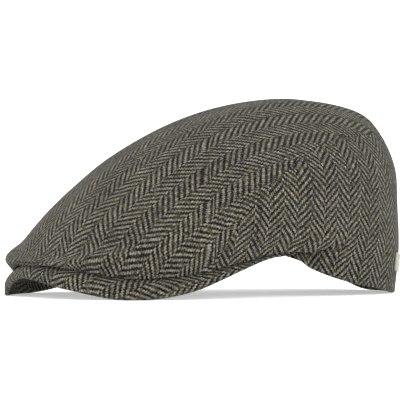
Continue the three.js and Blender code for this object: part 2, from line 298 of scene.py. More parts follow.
class Crown:
    """The crown's surface over angle and level, worked out from the cap's sizes."""

    def __init__(self, sizes):
        self.sizes = sizes
        self.back = sizes.length / 2

    def rim_height(self, angle):
        """Height of the rim, from the table of its side, never under the table top."""
        turn = wrapped(angle)
        left = from_table(RIM, np.abs(turn), "left")
        right = from_table(RIM, np.abs(turn), "right")
        return self.sizes.temple_height * np.maximum(0, np.where(turn < 0, right, left))

    def ring_point(self, ring, angle):
        """Points of whole rings.

        The front, the back and the side of a ring fix a mean, a wave of one turn and a wave of
        two turns for y and z. x is a sine, with a third and a second harmonic for the corners.
        """
        row = RINGS[ring]
        turn = np.radians(angle)
        one, two = np.cos(turn), np.cos(2 * turn)
        front = -row["front"] * self.back
        back = row["back"] * self.back
        side = row["side_back"] * self.back
        middle = (front + back) / 2
        y = (middle + side) / 2 - (back - front) / 2 * one + (middle - side) / 2 * two
        end_z = (row["front_z"] + row["back_z"]) / 2
        z = (end_z + row["side_z"]) / 2 - (row["back_z"] - row["front_z"]) / 2 * one
        z = self.sizes.height * (z + (end_z - row["side_z"]) / 2 * two)
        z = np.where(ring == 0, self.rim_height(angle), z)
        corner = np.sin(turn) + row["square"] * np.sin(3 * turn) + row["full"] * np.sin(2 * turn)
        x = self.sizes.half_width * row["half_width"] * corner / (1 - row["square"])
        return np.stack([x, y, z], axis=-1)

    def knot(self, level, angle):
        """Ring points, with one mirrored below the rim and one carried over the apex."""
        beyond = level > TOP_LEVEL
        ring = np.where(beyond, 2 * TOP_LEVEL - level, np.maximum(level, 0))
        point = self.ring_point(ring, np.where(beyond, angle + 180, angle))
        zero = np.zeros_like(ring)
        steer = 2 * self.ring_point(zero, angle) - self.ring_point(zero + 1, angle)
        return np.where((level < 0)[..., None], steer, point)

    def meridian(self, angle, level):
        """Points of the bare crown: a Catmull-Rom curve up through the rings at each angle."""
        low = np.clip(np.floor(level), 0, TOP_LEVEL - 1).astype(int)
        t = level - low
        weights = (
            (-t + 2 * t ** 2 - t ** 3) / 2,
            (2 - 5 * t ** 2 + 3 * t ** 3) / 2,
            (t + 4 * t ** 2 - 3 * t ** 3) / 2,
            (t ** 3 - t ** 2) / 2,
        )
        return sum(w[..., None] * self.knot(low - 1 + i, angle) for i, w in enumerate(weights))

    def along_ring(self, angle, level):
        """Rate of change per degree round the crown, from two points close to each other."""
        step = self.meridian(angle + PROBE, level) - self.meridian(angle - PROBE, level)
        return step / (2 * PROBE)

    def up_meridian(self, angle, level):
        """Rate of change per level up the crown."""
        high = np.minimum(level + PROBE, TOP_LEVEL)
        return (self.meridian(angle, high) - self.meridian(angle, high - 2 * PROBE)) / (2 * PROBE)

    def rate(self, angle, level):
        """Metres per level up the crown."""
        return np.linalg.norm(self.up_meridian(angle, level), axis=-1)

    def outward(self, angle, level):
        """Direction out of the cloth: across both rates of change, one direction at the apex."""
        at_top = level >= TOP_LEVEL - PROBE
        angle = np.where(at_top, 0, angle)
        level = np.where(at_top, TOP_LEVEL - PROBE, level)
        return unit(np.cross(self.along_ring(angle, level), self.up_meridian(angle, level)))

    def dents(self, angle, level):
        """Depth of all dents: each is a bell over angle and level."""
        depth = np.zeros(np.broadcast(angle, level).shape)
        for dent in DENTS:
            across = wrapped(angle - dent["angle"]) / dent["wide"]
            up = (level - dent["level"]) / dent["tall"]
            depth += dent["depth"] * np.exp(-(across ** 2 + up ** 2) / 2)
        return self.sizes.dent_depth * depth

    def point(self, angle, level, lift):
        """Points a distance outside the cloth's face, pressed in by the dents."""
        angle, level, lift = np.broadcast_arrays(angle, level, lift)
        lift = lift - self.dents(angle, level)
        point = self.meridian(angle, level) + self.outward(angle, level) * lift[..., None]
        point[..., 2] = np.maximum(point[..., 2], 0)
        return point


# Fineness of the meshes, and how strongly rows crowd at the edges of the panels
PATH_POINTS = 2001
SEAM_COLUMNS = 150
FRONT_COLUMNS = 110
TOP_ROWS = 78
SIDE_ROWS = 62
ROLL_STEPS = 10
TOP_CROWDING = 1.4
SIDE_CROWDING = 0.75

# Distances of the last columns from the back seam, and the seam's length, about, in metres
END_DISTANCES = np.array([0.0016, 0.0011, 0.0007, 0.0004, 0.0002, 0.00008, 0])
SEAM_LENGTH = 0.33

# Radius of a rolled seam as a share of the half wall, and the most of a narrow panel's height
# that one rolled edge takes
SEAM_ROLL = 0.5
ROLL_SHARE = 0.4

# The weave's pattern: mesh columns to one of its columns, its rows, and the rounds that lay it
# flat. On the side panels it is laid upright at an angle from the front and turned by the lean.
PATTERN_COLUMNS = 6
PATTERN_ROWS = 18
FLAT_ROUNDS = 60
SMOOTH_ROUNDS = 8
GRAIN_ANGLE = 125
GRAIN_LEAN = 9


def angles_at(crown, start, end, shares):
    """Angles at shares of the length along the seam or rim between two angles."""
    fine = np.linspace(start, end, PATH_POINTS)
    path = crown.meridian(fine, seam_level(fine))
    length = np.append(0, np.cumsum(np.linalg.norm(np.diff(path, axis=0), axis=-1)))
    return np.interp(np.asarray(shares) * length[-1], length, fine)


def seam_angles(crown):
    """Angles of the columns that the top panel and a side panel share, fine at the back seam."""
    even = np.linspace(0, 1, SEAM_COLUMNS + 1)[:-1]
    shares = np.append(even, 1 - END_DISTANCES / SEAM_LENGTH)
    return angles_at(crown, SEAM["angle"][0], 180, np.sort(shares))


def roll(radius, half):
    """Distance from the edge, and lift, round a turned edge.

    Half an ellipse runs from the outer face round to the inner one: the distance falls from the
    radius to nothing and comes back, and the lift sinks by twice the half wall.
    """
    turn = np.linspace(0, np.pi, ROLL_STEPS + 1)[1:-1]
    distance = radius - radius * np.sin(turn)
    lift = -half * (1 - np.cos(turn))
    return distance, lift


def make_mesh(name, points, faces, flat, tuck=0):
    """A closed mesh object from points, faces and the flat place of each point on the cloth.

    The last argument is how deep each point lies in the fold's tuck, from 0 to 1, kept as a mask
    for painted shade that darkens the cloth there. Points that meet are welded, and all faces are
    turned round if the volume comes out negative.
    """
    mesh = bpy.data.meshes.new(name)
    mesh.from_pydata(points, [], faces)
    layer = mesh.uv_layers.new(name=WEAVE_MAP)
    corners = np.empty(len(mesh.loops), dtype=np.int32)
    mesh.loops.foreach_get("vertex_index", corners)
    layer.data.foreach_set("uv", np.ascontiguousarray(flat[corners], dtype=np.float32).ravel())
    # Mask for the painted shade in the fold's tuck
    shade_layer = mesh.attributes.new(TUCK_SHADE_MARK, "FLOAT", "POINT")
    shade_layer.data.foreach_set("value", np.broadcast_to(tuck, len(points)).astype(np.float32))
    form = bmesh.new()
    form.from_mesh(mesh)
    bmesh.ops.remove_doubles(form, verts=form.verts, dist=SAME_POINT)
    if form.calc_volume(signed=True) < 0:
        bmesh.ops.reverse_faces(form, faces=form.faces)
    form.to_mesh(mesh)
    form.free()
    mesh.shade_smooth()
    piece = bpy.data.objects.new(name, mesh)
    bpy.context.scene.collection.objects.link(piece)
    return piece


def grid_faces(columns, rows, wrap_columns, wrap_rows):
    """Quads between neighbouring columns and rows of a grid, round the end where it wraps."""
    index = np.arange(columns * rows).reshape(columns, rows)
    if wrap_columns:
        index = np.vstack([index, index[:1]])
    if wrap_rows:
        index = np.hstack([index, index[:, :1]])
    quads = np.stack([index[:-1, :-1], index[1:, :-1], index[1:, 1:], index[:-1, 1:]], axis=-1)
    return quads.reshape(-1, 4)


def flattened(points, start, closed):
    """Flat places of a grid of surface points, as if the cloth was cut flat with least stretch.

    Each edge and diagonal of the grid is a spring with its length on the surface. In each round
    the springs keep the directions that they have in the flat, and the places that fit all their
    lengths best are solved for. A closed grid goes all the way round and ends in one point.
    """
    columns, rows = points.shape[:2]
    index = np.arange(columns * rows).reshape(columns, rows)
    if closed:
        index[:, -1] = index[0, -1]
        index = np.vstack([index, index[:1]])
    ends = ((index[:-1], index[1:]), (index[:, :-1], index[:, 1:]),
            (index[:-1, :-1], index[1:, 1:]), (index[1:, :-1], index[:-1, 1:]))
    first = np.concatenate([pair[0].ravel() for pair in ends])
    second = np.concatenate([pair[1].ravel() for pair in ends])
    spots = points.reshape(-1, 3)
    length = np.linalg.norm(spots[first] - spots[second], axis=-1)
    real = length > SAME_POINT
    first, second, length = first[real], second[real], length[real]
    weight = 1 / length
    pull = np.eye(len(spots)) * SAME_POINT
    np.add.at(pull, (first, first), weight)
    np.add.at(pull, (second, second), weight)
    np.add.at(pull, (first, second), -weight)
    np.add.at(pull, (second, first), -weight)
    solve = np.linalg.inv(pull)
    flat = start.reshape(-1, 2)
    for _ in range(FLAT_ROUNDS):
        wanted = unit(flat[first] - flat[second]) * (weight * length)[:, None]
        load = np.zeros_like(flat)
        np.add.at(load, first, wanted)
        np.add.at(load, second, -wanted)
        flat = solve @ load
    return unfolded(points, flat[index[:columns]])


def unfolded(points, flat):
    """Flat places with the pleats smoothed away that tight springs fold into the cloth.

    Each step up a column is taken per metre of the surface, averaged with its neighbours a few
    times, and the column is laid out again from its upper end.
    """
    lengths = np.linalg.norm(np.diff(points, axis=1), axis=-1)[..., None]
    steps = np.diff(flat, axis=1) / lengths
    for _ in range(SMOOTH_ROUNDS):
        padded = np.concatenate([steps[:, :1], steps, steps[:, -1:]], axis=1)
        steps = (padded[:, :-2] + 2 * steps + padded[:, 2:]) / 4
    from_end = np.cumsum((steps * lengths)[:, ::-1], axis=1)[:, ::-1]
    return np.concatenate([flat[:, -1:] - from_end, flat[:, -1:]], axis=1)


def lengths_from(points, axis):
    """How far along a grid of points each one lies from the start of its row."""
    steps = np.linalg.norm(np.diff(points, axis=axis), axis=-1)
    return np.concatenate([np.zeros_like(np.take(steps, [0], axis)), np.cumsum(steps, axis)], axis)


def turned_flat(flat, origin, upward):
    """Flat places moved so that origin is at zero and turned so that upward lies along +Y."""
    up = unit(upward - origin)
    right = np.array([up[1], -up[0]])
    moved = flat - origin
    return np.stack([moved @ right, moved @ up], axis=-1)


def sampled(grid, picked, row):
    """Values of a grid at all mesh columns, of which it holds the picked ones, and at any row.

    Between the grid's rows and columns a value runs in a line, and on in that line beyond them.
    """
    column = np.interp(np.arange(len(row)), picked, np.arange(len(picked)))[:, None]
    i = np.clip(np.floor(column), 0, grid.shape[0] - 2).astype(int)
    j = np.clip(np.floor(row), 0, grid.shape[1] - 2).astype(int)
    s = (column - i)[..., None]
    t = (row - j)[..., None]
    low = grid[i, j] * (1 - s) + grid[i + 1, j] * s
    high = grid[i, j + 1] * (1 - s) + grid[i + 1, j + 1] * s
    return low * (1 - t) + high * t


def dress(piece, node, material):
    """The last steps of every piece: its finish, its body and the node it stands for."""
    piece.data.materials.clear()
    piece.data.materials.append(material)
    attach(piece, BODY)
    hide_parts(node)


class Nodes:
    """Adds nodes to a tree. Each method returns the socket that the new node puts out."""

    def __init__(self, tree):
        self.tree = tree

    def add(self, kind, **settings):
        node = self.tree.nodes.new(kind)
        for name, value in settings.items():
            setattr(node, name, value)
        return node

    def feed(self, socket, value):
        """Links a socket, or sets a number or colour on it."""
        if isinstance(value, bpy.types.NodeSocket):
            self.tree.links.new(value, socket)
        else:
            socket.default_value = value

    def math(self, operation, *values):
        node = self.add("ShaderNodeMath", operation=operation)
        for socket, value in zip(node.inputs, values):
            self.feed(socket, value)
        return node.outputs[0]

    def mix(self, share, first, second):
        """A number between two others."""
        node = self.add("ShaderNodeMix", data_type="FLOAT")
        for socket, value in zip(node.inputs[:1] + node.inputs[2:4], (share, first, second)):
            self.feed(socket, value)
        return node.outputs[0]

    def blend(self, share, first, second, blend_type="MIX"):
        """A colour between two others."""
        node = self.add("ShaderNodeMix", data_type="RGBA", blend_type=blend_type)
        for socket, value in zip(node.inputs[:1] + node.inputs[6:8], (share, first, second)):
            self.feed(socket, value)
        return node.outputs[2]

    def vector(self, x, y, z):
        node = self.add("ShaderNodeCombineXYZ")
        for socket, value in zip(node.inputs, (x, y, z)):
            self.feed(socket, value)
        return node.outputs[0]

    def noise(self, place, scale, detail=0, output="Fac"):
        node = self.add("ShaderNodeTexNoise")
        self.feed(node.inputs["Vector"], place)
        self.feed(node.inputs["Scale"], scale)
        self.feed(node.inputs["Detail"], detail)
        return node.outputs[output]

    def ramp(self, value, low, high):
        """0 at low and below, 1 at high and above, smooth between."""
        node = self.add("ShaderNodeMapRange", interpolation_type="SMOOTHSTEP")
        for socket, number in zip(node.inputs[:3], (value, low, high)):
            self.feed(socket, number)
        return node.outputs[0]


def new_group(name, inputs, outputs):
    """A shader node group with named inputs and outputs: the group, and its two end nodes."""
    group = bpy.data.node_groups.new(name, "ShaderNodeTree")
    for label, kind in inputs:
        group.interface.new_socket(label, in_out="INPUT", socket_type=kind)
    for label, kind in outputs:
        group.interface.new_socket(label, in_out="OUTPUT", socket_type=kind)
    start = group.nodes.new("NodeGroupInput")
    end = group.nodes.new("NodeGroupOutput")
    return group, start.outputs, end.inputs


# Noises of the wool, in patches per metre
HAIR_SCALE = 3500
TUFT_SCALE = 800
CLOUD_SCALE = 22
STRAY_SCALE = 520
SWAY_SCALE = 110
SLUB_SCALE = 170

# How far the noises push the yarns aside, in metres
SWAY = 0.0011
STRAY = 0.0011

# How strongly each noise changes the tone
YARN_TONE = 0.5
SLUB_TONE = 2.2
HAIR_TONE = 2
TUFT_TONE = 3.6
CLOUD_TONE = 0.5
# Painted shade in the fold's tuck: how much the cloth's colour darkens where the tuck mask is full
TUCK_SHADE_TONE = -0.7

# Coloured flecks: patches per metre, the shift of their noise and how much they cover, and the
# noise values between which a fleck sets in
FLECKS = (("Olive", 230, 0, 0.45), ("Mauve", 260, 3.1, 0.35), ("Slate", 180, 7.7, 0.15))
FLECK_START = 0.5
FLECK_FULL = 0.68

# A float of yarn: how far its ends dive and how sharply, the relief of hairs on it, the tone of
# its lowest places, where painted shade darkens the colour, and how much smoother its top is
DIVE = 0.6
DIVE_SHARPNESS = 3
HAIR_RELIEF = 0.35
DEEP_SHADE_TONE = 0.35
TOP_SMOOTHNESS = 0.08

# First number of the yarns across, past all those that run up, and how far apart in its noise
# the slubs of two yarns are read
WEFT_NUMBER = 1000
YARN_STRIDE = 7.31

# Strength and depth of the tweed's bump, and its gloss
TWEED_BUMP = 0.7
TWEED_RELIEF = 0.0004
TWEED_SPECULAR = 0.1
TWEED_SHEEN = 0.04
TWEED_SHEEN_ROUGHNESS = 0.5
TWEED_SHEEN_TINT = (0.8, 0.79, 0.74, 1)

# The badge's ribbon: width of a thread, its tone with what the painted light and shade on the
# threads and the hairs add, its bump's strength and depth, and its gloss
RIBBON_THREAD = 0.0004
RIBBON_TONE = 0.6
RIBBON_THREAD_SHADE = 0.3
RIBBON_HAIR_TONE = 0.3
RIBBON_BUMP = 0.5
RIBBON_RELIEF = 0.0001
RIBBON_ROUGHNESS = 0.75
RIBBON_SMOOTHNESS = 0.15
RIBBON_SHEEN = 0.1


def fibre_group():
    """Wool fibres: single hairs, tufts of a yarn's width and broad clouds, as noises."""
    name = "wool_fibres"
    if name in bpy.data.node_groups:
        return bpy.data.node_groups[name]
    group, given, result = new_group(
        name, [("Place", "NodeSocketVector")],
        [("Hair", "NodeSocketFloat"), ("Tuft", "NodeSocketFloat"), ("Cloud", "NodeSocketFloat"),
         ("Stray", "NodeSocketColor")])
    n = Nodes(group)
    n.feed(result["Hair"], n.noise(given["Place"], HAIR_SCALE, 2))
    n.feed(result["Tuft"], n.noise(given["Place"], TUFT_SCALE, 2))
    n.feed(result["Cloud"], n.noise(given["Place"], CLOUD_SCALE, 2))
    n.feed(result["Stray"], n.noise(given["Place"], STRAY_SCALE, 1, "Color"))
    return group


def herringbone_group():
    """A 2/2 twill that turns over at each column, from places on the flat cloth in metres.

    Yarn i runs up the cloth and yarn j across it. The light yarn lies on top where
    (j plus or minus i) modulo 4 is under 2. A float lies over two yarns, bulges across and dives
    at both ends. Its colour darkens with painted shade toward its low places, and the tuck mask
    adds painted shade in the fold.
    """
    name = "herringbone_weave"
    if name in bpy.data.node_groups:
        return bpy.data.node_groups[name]
    group, given, result = new_group(
        name,
        [("Place", "NodeSocketVector"), ("Tuck", "NodeSocketFloat"), ("Yarn", "NodeSocketFloat"),
         ("Column", "NodeSocketFloat"),
         ("Light", "NodeSocketColor"), ("Dark", "NodeSocketColor"), ("Olive", "NodeSocketColor"),
         ("Mauve", "NodeSocketColor"), ("Slate", "NodeSocketColor")],
        [("Color", "NodeSocketColor"), ("Height", "NodeSocketFloat"),
         ("Roughness", "NodeSocketFloat")])
    n = Nodes(group)
    place = given["Place"]
    fibres = n.add("ShaderNodeGroup", node_tree=fibre_group())
    n.feed(fibres.inputs["Place"], place)
    sway = n.add("ShaderNodeSeparateXYZ")
    n.feed(sway.inputs[0], n.noise(place, SWAY_SCALE, 1, "Color"))
    stray = n.add("ShaderNodeSeparateXYZ")
    n.feed(stray.inputs[0], fibres.outputs["Stray"])
    flat = n.add("ShaderNodeSeparateXYZ")
    n.feed(flat.inputs[0], place)
    across = [flat.outputs[0], flat.outputs[1]]
    for push, reach in ((sway, SWAY), (stray, STRAY)):
        across = [n.math("MULTIPLY_ADD", n.math("SUBTRACT", push.outputs[k], 0.5), reach,
                         across[k]) for k in range(2)]
    u, v = (n.math("DIVIDE", value, given["Yarn"]) for value in across)
    i, j = n.math("FLOOR", u), n.math("FLOOR", v)
    part_u, part_v = n.math("FRACT", u), n.math("FRACT", v)

    column = n.math("FLOOR", n.math("DIVIDE", i, given["Column"]))
    odd = n.math("FLOORED_MODULO", column, 2)
    sign = n.math("MULTIPLY_ADD", odd, -2, 1)
    inside = n.math("SUBTRACT", i, n.math("MULTIPLY", column, given["Column"]))
    cut = n.math("MULTIPLY", odd, n.math("ADD", given["Column"], 1))
    diagonal = n.math("ADD", n.math("MULTIPLY_ADD", sign, inside, j), cut)
    step = n.math("FLOORED_MODULO", diagonal, 4)
    warp = n.math("LESS_THAN", step, 1.5)

    weft_step = n.mix(odd, n.math("SUBTRACT", step, 2), n.math("SUBTRACT", 3, step))
    along_weft = n.math("MULTIPLY", n.math("ADD", weft_step, part_u), 0.5)
    along_warp = n.math("MULTIPLY", n.math("ADD", step, part_v), 0.5)
    along = n.mix(warp, along_weft, along_warp)
    side = n.mix(warp, part_v, part_u)
    centred = n.math("MULTIPLY_ADD", side, 2, -1)
    bulge = n.math("SQRT", n.math("SUBTRACT", 1, n.math("MULTIPLY", centred, centred)))
    ends = n.math("POWER", n.math("ABSOLUTE", n.math("MULTIPLY_ADD", along, 2, -1)),
                  DIVE_SHARPNESS)
    height = n.math("MULTIPLY", bulge, n.math("MULTIPLY_ADD", ends, -DIVE, 1))

    yarn_number = n.mix(warp, n.math("ADD", j, WEFT_NUMBER + 0.5), n.math("ADD", i, 0.5))
    length_along = n.mix(warp, flat.outputs[0], flat.outputs[1])
    random = n.add("ShaderNodeTexWhiteNoise", noise_dimensions="1D")
    n.feed(random.inputs["W"], yarn_number)
    slub_place = n.vector(n.math("MULTIPLY", yarn_number, YARN_STRIDE),
                          n.math("MULTIPLY", length_along, SLUB_SCALE), 0)
    slub = n.noise(slub_place, 1, 2)
    tone = 1
    for noise, strength in (
            (random.outputs["Value"], YARN_TONE), (slub, SLUB_TONE),
            (fibres.outputs["Hair"], HAIR_TONE), (fibres.outputs["Tuft"], TUFT_TONE),
            (fibres.outputs["Cloud"], CLOUD_TONE)):
        tone = n.math("MULTIPLY_ADD", n.math("SUBTRACT", noise, 0.5), strength, tone)
    # Painted shade: the colour darkens toward the low places of each float, where it dives and
    # curves away
    tone = n.math("MULTIPLY", tone, n.math("MULTIPLY_ADD", height, 1 - DEEP_SHADE_TONE, DEEP_SHADE_TONE))
    # Painted shade: the colour darkens where the tuck mask lies, in the fold behind the temple
    tone = n.math("MULTIPLY", tone, n.math("MULTIPLY_ADD", given["Tuck"], TUCK_SHADE_TONE, 1))

    colour = n.blend(warp, given["Dark"], given["Light"])
    for label, scale, shift, share in FLECKS:
        moved = n.add("ShaderNodeVectorMath", operation="ADD")
        n.feed(moved.inputs[0], place)
        moved.inputs[1].default_value = (shift, -shift, shift)
        spot = n.ramp(n.noise(moved.outputs[0], scale, 1), FLECK_START, FLECK_FULL)
        colour = n.blend(n.math("MULTIPLY", spot, share), colour, given[label])
    colour = n.blend(1, colour, n.vector(tone, tone, tone), "MULTIPLY")
    n.feed(result["Color"], colour)
    n.feed(result["Height"], n.math("MULTIPLY_ADD", fibres.outputs["Hair"], HAIR_RELIEF, height))
    n.feed(result["Roughness"], n.math("MULTIPLY_ADD", height, -TOP_SMOOTHNESS, 1))
    return group


def new_material(name):
    """A new material, what adds its nodes, and its surface node."""
    material = bpy.data.materials.new(name)
    material.use_nodes = True
    return material, Nodes(material.node_tree), material.node_tree.nodes["Principled BSDF"]


def tweed_material(look):
    """Herringbone wool: the weave gives colour, painted shade included, and height; a soft sheen
    lies over it.
    """
    name = "herringbone_tweed"
    if name in bpy.data.materials:
        return bpy.data.materials[name]
    material, n, surface = new_material(name)
    place = n.add("ShaderNodeUVMap", uv_map=WEAVE_MAP)
    weave = n.add("ShaderNodeGroup", node_tree=herringbone_group())
    n.feed(weave.inputs["Place"], place.outputs[0])
    # Painted shade: the tuck mask darkens the weave's colour in the fold behind the temple
    tuck = n.add("ShaderNodeAttribute", attribute_name=TUCK_SHADE_MARK)
    n.feed(weave.inputs["Tuck"], tuck.outputs["Fac"])
    weave.inputs["Yarn"].default_value = look.yarn
    weave.inputs["Column"].default_value = look.column
    for label in ("Light", "Dark", "Olive", "Mauve", "Slate"):
        weave.inputs[label].default_value = getattr(look, label.lower())
    bump = n.add("ShaderNodeBump")
    bump.inputs["Strength"].default_value = TWEED_BUMP
    bump.inputs["Distance"].default_value = TWEED_RELIEF
    n.feed(bump.inputs["Height"], weave.outputs["Height"])
    n.feed(surface.inputs["Base Color"], weave.outputs["Color"])
    n.feed(surface.inputs["Roughness"], weave.outputs["Roughness"])
    n.feed(surface.inputs["Normal"], bump.outputs[0])
    surface.inputs["Specular IOR Level"].default_value = TWEED_SPECULAR
    surface.inputs["Sheen Weight"].default_value = TWEED_SHEEN
    surface.inputs["Sheen Roughness"].default_value = TWEED_SHEEN_ROUGHNESS
    surface.inputs["Sheen Tint"].default_value = TWEED_SHEEN_TINT
    return material


def badge_material(look):
    """Plain woven ribbon: two sets of fine threads cross over and under each other."""
    name = "badge_ribbon"
    if name in bpy.data.materials:
        return bpy.data.materials[name]
    material, n, surface = new_material(name)
    place = n.add("ShaderNodeUVMap", uv_map=WEAVE_MAP)
    flat = n.add("ShaderNodeSeparateXYZ")
    n.feed(flat.inputs[0], place.outputs[0])
    waves = [n.math("SINE", n.math("MULTIPLY", flat.outputs[k], np.pi / RIBBON_THREAD))
             for k in range(2)]
    height = n.math("MULTIPLY_ADD", n.math("MULTIPLY", waves[0], waves[1]), 0.5, 0.5)
    fibres = n.add("ShaderNodeGroup", node_tree=fibre_group())
    n.feed(fibres.inputs["Place"], place.outputs[0])
    # Painted light and shade: the ribbon's colour is lighter on the threads' tops and darker in
    # their dips
    tone = n.math("MULTIPLY_ADD", height, RIBBON_THREAD_SHADE, RIBBON_TONE)
    tone = n.math("MULTIPLY_ADD", fibres.outputs["Hair"], RIBBON_HAIR_TONE, tone)
    tint = n.vector(tone, tone, tone)
    n.feed(surface.inputs["Base Color"], n.blend(1, tuple(look.badge), tint, "MULTIPLY"))
    bump = n.add("ShaderNodeBump")
    bump.inputs["Strength"].default_value = RIBBON_BUMP
    bump.inputs["Distance"].default_value = RIBBON_RELIEF
    n.feed(bump.inputs["Height"], height)
    n.feed(surface.inputs["Normal"], bump.outputs[0])
    n.feed(surface.inputs["Roughness"],
           n.math("MULTIPLY_ADD", height, -RIBBON_SMOOTHNESS, RIBBON_ROUGHNESS))
    surface.inputs["Sheen Weight"].default_value = RIBBON_SHEEN
    return material


class FLATCAP_OT_top_panel(bpy.types.Operator):
    """Make the top panel, from the crease over the visor and the two seams up to the apex."""
    bl_idname = "flat_cap.top_panel"
    bl_label = "Top panel"

    def execute(self, context):
        scene = context.scene
        crown = Crown(scene.cap_sizes)
        half = scene.cap_sizes.wall / 2
        rear = seam_angles(crown)
        front_end = SEAM["angle"][0]
        front = angles_at(crown, -front_end, front_end, np.linspace(0, 1, FRONT_COLUMNS + 1))
        angle = np.concatenate([-rear[::-1], front[1:-1], rear])[:-1]
        foot = seam_level(angle)
        rate = crown.rate(angle, foot)

        shares = np.linspace(0, 1, TOP_ROWS + 1)[::-1] ** TOP_CROWDING
        start = half * SEAM_ROLL / rate
        outer = foot[:, None] + start[:, None] + (TOP_LEVEL - foot - start)[:, None] * shares
        distance, lift = roll(half * SEAM_ROLL, half)
        edge = foot[:, None] + distance / rate[:, None]
        levels = np.hstack([outer, edge, outer[:, ::-1]])
        lifts = np.concatenate([np.zeros(TOP_ROWS + 1), lift, np.full(TOP_ROWS + 1, -2 * half)])
        points = crown.point(angle[:, None], levels, lifts)
        places = self.weave_places(crown, angle, foot, levels)
        faces = grid_faces(*points.shape[:2], True, False)
        piece = make_mesh("top_panel_cloth", points.reshape(-1, 3), faces.tolist(),
                          places.reshape(-1, 2))
        dress(piece, "top_panel", tweed_material(scene.cloth_look))
        return {"FINISHED"}

    def weave_places(self, crown, angle, foot, levels):
        """Flat places of the panel's points, with the nose below the apex."""
        picked = np.arange(0, len(angle), PATTERN_COLUMNS)
        rise = np.linspace(0, 1, PATTERN_ROWS + 1)
        flat_levels = foot[picked, None] + (TOP_LEVEL - foot[picked, None]) * rise
        cloth = crown.point(angle[picked, None], flat_levels, 0)
        to_apex = lengths_from(cloth[:, ::-1], 1)[:, ::-1, None]
        ray = unit(cloth[:, -2, :2] - cloth[:, -1, :2])[:, None]
        flat = flattened(cloth, ray * to_apex, True)
        nose = flat[np.argmin(np.abs(angle[picked])), 0]
        flat = turned_flat(flat, flat[:, -1].mean(axis=0), 2 * flat[:, -1].mean(axis=0) - nose)
        flat = np.concatenate([flat, flat[:1]])
        row = (levels - foot[:, None]) / (TOP_LEVEL - foot)[:, None] * PATTERN_ROWS
        return sampled(flat, np.append(picked, len(angle)), row)


class FLATCAP_OT_side_panels(bpy.types.Operator):
    """Make the left and the right side panel, from the temple to the seam down the back."""
    bl_idname = "flat_cap.side_panels"
    bl_label = "Side panels"

    def execute(self, context):
        for side, name in ((1, "left"), (-1, "right")):
            self.panel(context.scene, side, name)
        return {"FINISHED"}

    def panel(self, scene, side, name):
        """One side panel: a board with a rolled rim below, a rolled seam above and a round end."""
        sizes = scene.cap_sizes
        crown = Crown(sizes)
        turn = seam_angles(crown)[1:]
        angle = side * turn
        top = seam_level(angle)
        half_rim = sizes.hem / 2
        half_seam = sizes.wall / 2
        rate = crown.rate(angle, top / 2)
        tall = top * rate
        radius_rim = np.minimum(half_rim, tall * ROLL_SHARE) / rate
        radius_seam = np.minimum(half_seam * SEAM_ROLL, tall * ROLL_SHARE) / rate

        t = np.linspace(0, 1, SIDE_ROWS + 1)
        shares = t - SIDE_CROWDING * np.sin(2 * np.pi * t) / (2 * np.pi)
        outer = radius_rim[:, None] + (top - radius_rim - radius_seam)[:, None] * shares
        walls = half_rim + (half_seam - half_rim) * t
        rim_distance, rim_lift = roll(1, half_rim)
        seam_distance, seam_lift = roll(1, half_seam)
        levels = np.hstack([
            outer[:, ::-1],
            radius_rim[:, None] * rim_distance,
            outer,
            top[:, None] - radius_seam[:, None] * seam_distance[::-1],
        ])
        lifts = np.concatenate([np.zeros(SIDE_ROWS + 1), rim_lift, -2 * walls, seam_lift[::-1]])
        middle = np.concatenate([-walls[::-1], np.full(len(rim_lift), -half_rim), -walls,
                                 np.full(len(seam_lift), -half_seam)])
        to_back = np.radians(180 - turn)[:, None] * np.linalg.norm(
            crown.along_ring(angle, top / 2), axis=-1)[:, None] * 180 / np.pi
        near = np.clip(to_back / half_seam, 0, 1)
        round_end = np.sqrt(1 - (1 - near) ** 2)
        lifts = middle + (lifts - middle) * round_end
        depth, hang = fold(angle[:, None], levels)
        hang[:, SIDE_ROWS + 1:] = 0
        points = crown.point(angle[:, None], levels - hang, lifts - depth)
        places = self.weave_places(crown, side, angle, top, levels)
        faces = grid_faces(*points.shape[:2], False, True).tolist()
        # Mask for painted shade: how deep each point lies in the fold, darkening the cloth's colour
        # there
        tuck = np.clip(depth / FOLD_DEPTH, 0, 1).ravel()
        piece = make_mesh(f"side_panel_{name}_cloth", points.reshape(-1, 3), faces,
                          places.reshape(-1, 2), tuck)
        dress(piece, f"side_panel_{name}", tweed_material(scene.cloth_look))

    def weave_places(self, crown, side, angle, top, levels):
        """Flat places of the panel's points, with the weave set by the grain's angle and lean."""
        picked = np.arange(0, len(angle), PATTERN_COLUMNS)
        picked = np.union1d(picked, [len(angle) - 1])
        rise = np.linspace(0, 1, PATTERN_ROWS + 1)
        cloth = crown.point(angle[picked, None], top[picked, None] * rise, 0)
        middle_row = lengths_from(cloth[:, [PATTERN_ROWS // 2]], 0)
        start = np.stack([side * middle_row + 0 * cloth[..., 0], lengths_from(cloth, 1)], -1)
        flat = flattened(cloth, start, False)
        centre = np.argmin(np.abs(side * angle[picked] - GRAIN_ANGLE))
        flat = turned_flat(flat, flat[centre, 0], flat[centre, -1])
        lean = np.radians(-side * GRAIN_LEAN)
        flat = flat @ np.array([[np.cos(lean), -np.sin(lean)], [np.sin(lean), np.cos(lean)]])
        return sampled(flat, picked, levels / top[:, None] * PATTERN_ROWS)


